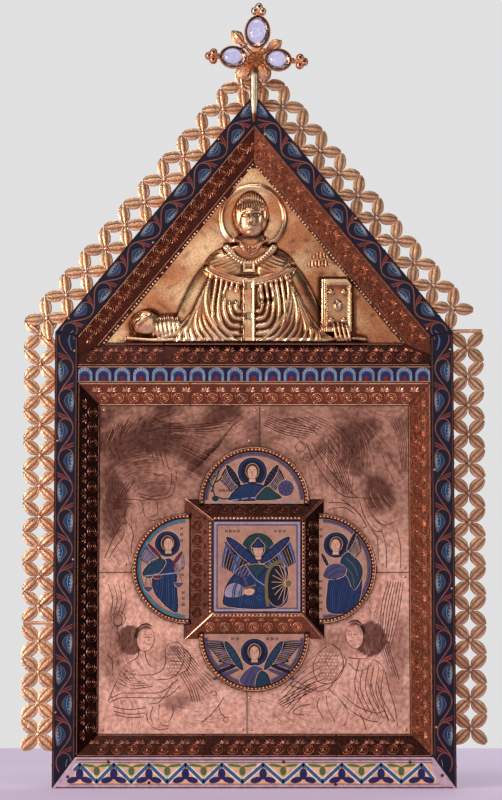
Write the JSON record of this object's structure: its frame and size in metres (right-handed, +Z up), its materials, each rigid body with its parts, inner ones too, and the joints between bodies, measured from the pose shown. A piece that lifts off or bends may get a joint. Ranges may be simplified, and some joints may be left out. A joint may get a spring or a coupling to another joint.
{
  "type": "gable-shaped reliquary casket",
  "caption": "House-shaped reliquary casket: hollow oak body cased in gilt copper and enamel strips, with a quatrefoil front, figured gable, pierced crests and a crystal finial.",
  "frame": {"origin": "middle of the underside", "axes": "+Z up to the finial, the decorated front faces -Y, +X to the right seen from the front"},
  "size_m": [0.3566, 0.0688, 0.6029],
  "materials": {
    "oak": "aged oak, dry and unpolished",
    "oak_back": "aged oak board, darkened",
    "side_sheet": "worn gilt copper sheet, nailed",
    "enamel_border": "champleve enamel, dark blue with gilt lines",
    "enamel_zigzag": "champleve enamel, blue zigzag on gilt ground",
    "enamel_arches": "champleve enamel, blue and white arches",
    "enamel_plaque": "champleve enamel figures on gilt ground",
    "stamped_dark": "stamped copper, dark brown varnish",
    "stamped_light": "stamped gilt copper, worn varnish",
    "gilt_relief": "polished gilt copper, hammered",
    "engraved_plate": "engraved gilt copper with brown varnish",
    "beaded_rim": "beaded gilt copper",
    "crest": "cast gilt copper, bright",
    "crest_patch": "later gilt copper, duller",
    "finial": "cast gilt copper",
    "crystal": "clear polished rock crystal, faint violet",
    "stem": "bright gilt copper, worn smooth"
  },
  "bodies": {
    "root": {"carcass": "oak", "back_board": "oak_back", "side_sheet_left": "side_sheet", "side_sheet_right": "side_sheet", "roof_sheet_left": "side_sheet", "roof_sheet_right": "side_sheet", "enamel_side_left": "enamel_border", "enamel_side_right": "enamel_border", "enamel_slope_left": "enamel_border", "enamel_slope_right": "enamel_border", "enamel_base": "enamel_zigzag", "enamel_arches": "enamel_arches", "field_strip_left": "stamped_dark", "field_strip_right": "stamped_light", "field_strip_top_left": "stamped_light", "field_strip_top_right": "stamped_light", "field_strip_bottom_left": "stamped_dark", "field_strip_bottom_middle": "stamped_dark", "field_strip_bottom_right": "stamped_dark", "gable_sill_left": "stamped_dark", "gable_sill_right": "stamped_dark", "gable_strip_left": "stamped_dark", "gable_strip_right": "stamped_light", "gable_relief": "gilt_relief", "engraved_plate_upper_left": "engraved_plate", "engraved_plate_upper_right": "engraved_plate", "engraved_plate_lower_left": "engraved_plate", "engraved_plate_lower_right": "engraved_plate", "lobe_rim_top": "beaded_rim", "lobe_rim_right": "beaded_rim", "lobe_rim_bottom": "beaded_rim", "lobe_rim_left": "beaded_rim", "lobe_enamel_top": "enamel_plaque", "lobe_enamel_right": "enamel_plaque", "lobe_enamel_bottom": "enamel_plaque", "lobe_enamel_left": "enamel_plaque", "centre_frame_bottom": "stamped_light", "centre_frame_right": "stamped_dark", "centre_frame_top": "stamped_dark", "centre_frame_left": "stamped_light", "centre_enamel": "enamel_plaque", "crest_left_upper": "crest", "crest_left_middle": "crest", "crest_left_lower": "crest_patch", "crest_right_upper": "crest", "crest_right_lower": "crest", "crest_roof_left_upper": "crest", "crest_roof_left_lower": "crest", "crest_roof_right": "crest", "finial_cross": "finial", "crystal_top": "crystal", "crystal_right": "crystal", "crystal_left": "crystal", "finial_stem": "stem"}
  },
  "joints": []
}
